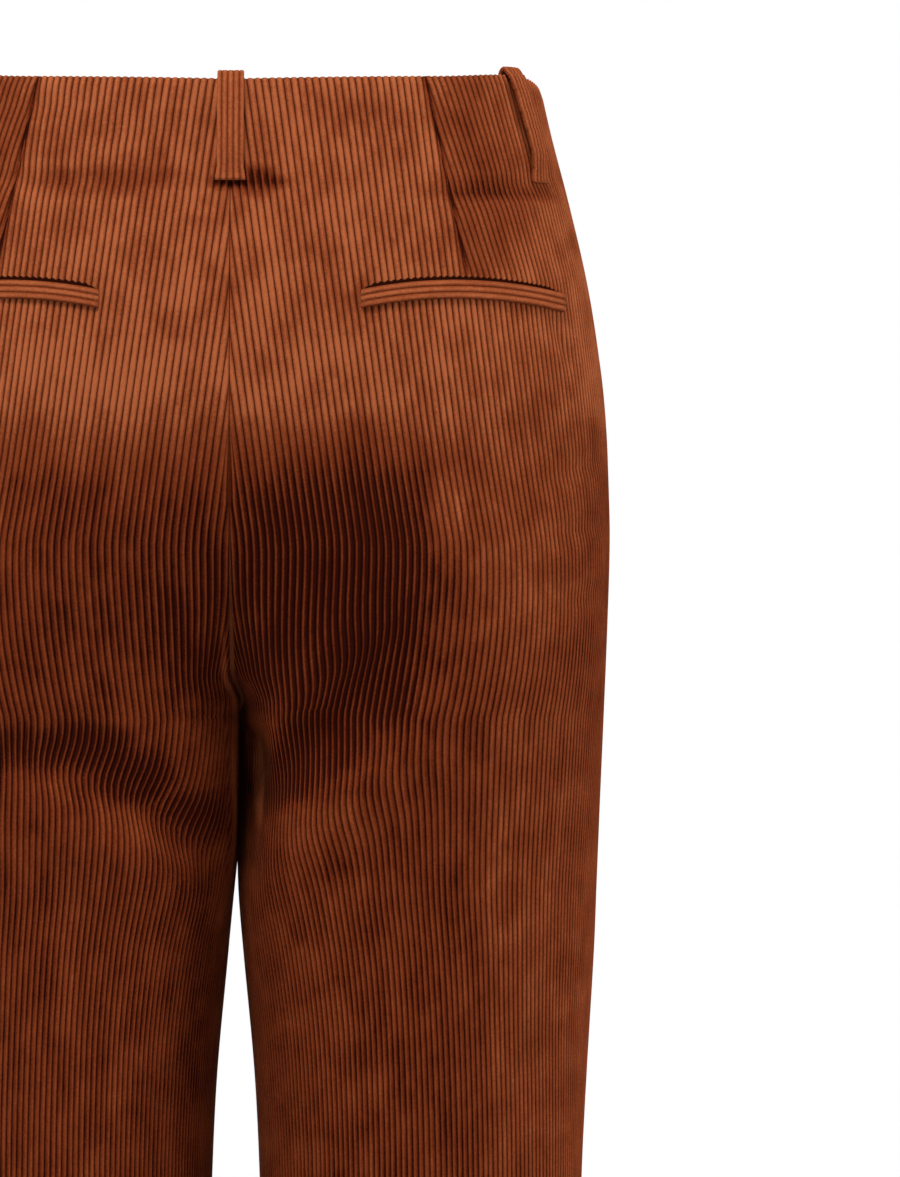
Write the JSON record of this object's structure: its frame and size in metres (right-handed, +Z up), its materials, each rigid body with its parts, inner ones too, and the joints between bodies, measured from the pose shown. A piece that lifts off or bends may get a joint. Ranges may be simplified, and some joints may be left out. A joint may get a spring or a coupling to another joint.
{
  "type": "corduroy trousers",
  "caption": "High-waisted, straight-legged corduroy trousers with belt loops, back welt pockets and a fly, hollow and filled out as worn.",
  "frame": {"origin": "middle of the waist opening, level with the top edge at the centre back", "axes": "+Z up, +X towards the wearer's left, the front of the trousers towards -Y"},
  "size_m": [0.3558, 0.2486, 1.0579],
  "materials": {
    "corduroy": "wide-wale cotton corduroy, soft nap",
    "welt_corduroy": "corduroy cut with its wales across",
    "loop_corduroy": "corduroy folded into a narrow strip",
    "button": "satin, dark brown"
  },
  "bodies": {
    "root": {"back_left": "corduroy", "back_right": "corduroy", "front_left": "corduroy", "front_right": "corduroy", "back_pocket_welt_left": "welt_corduroy", "back_pocket_welt_right": "welt_corduroy", "side_pocket_facing_left": "corduroy", "side_pocket_facing_right": "corduroy", "fly_lap": "corduroy", "fly_button": "button", "belt_loop_centre_back": "loop_corduroy", "belt_loop_back_left": "loop_corduroy", "belt_loop_back_right": "loop_corduroy", "belt_loop_front_left": "loop_corduroy", "belt_loop_front_right": "loop_corduroy"}
  },
  "joints": []
}
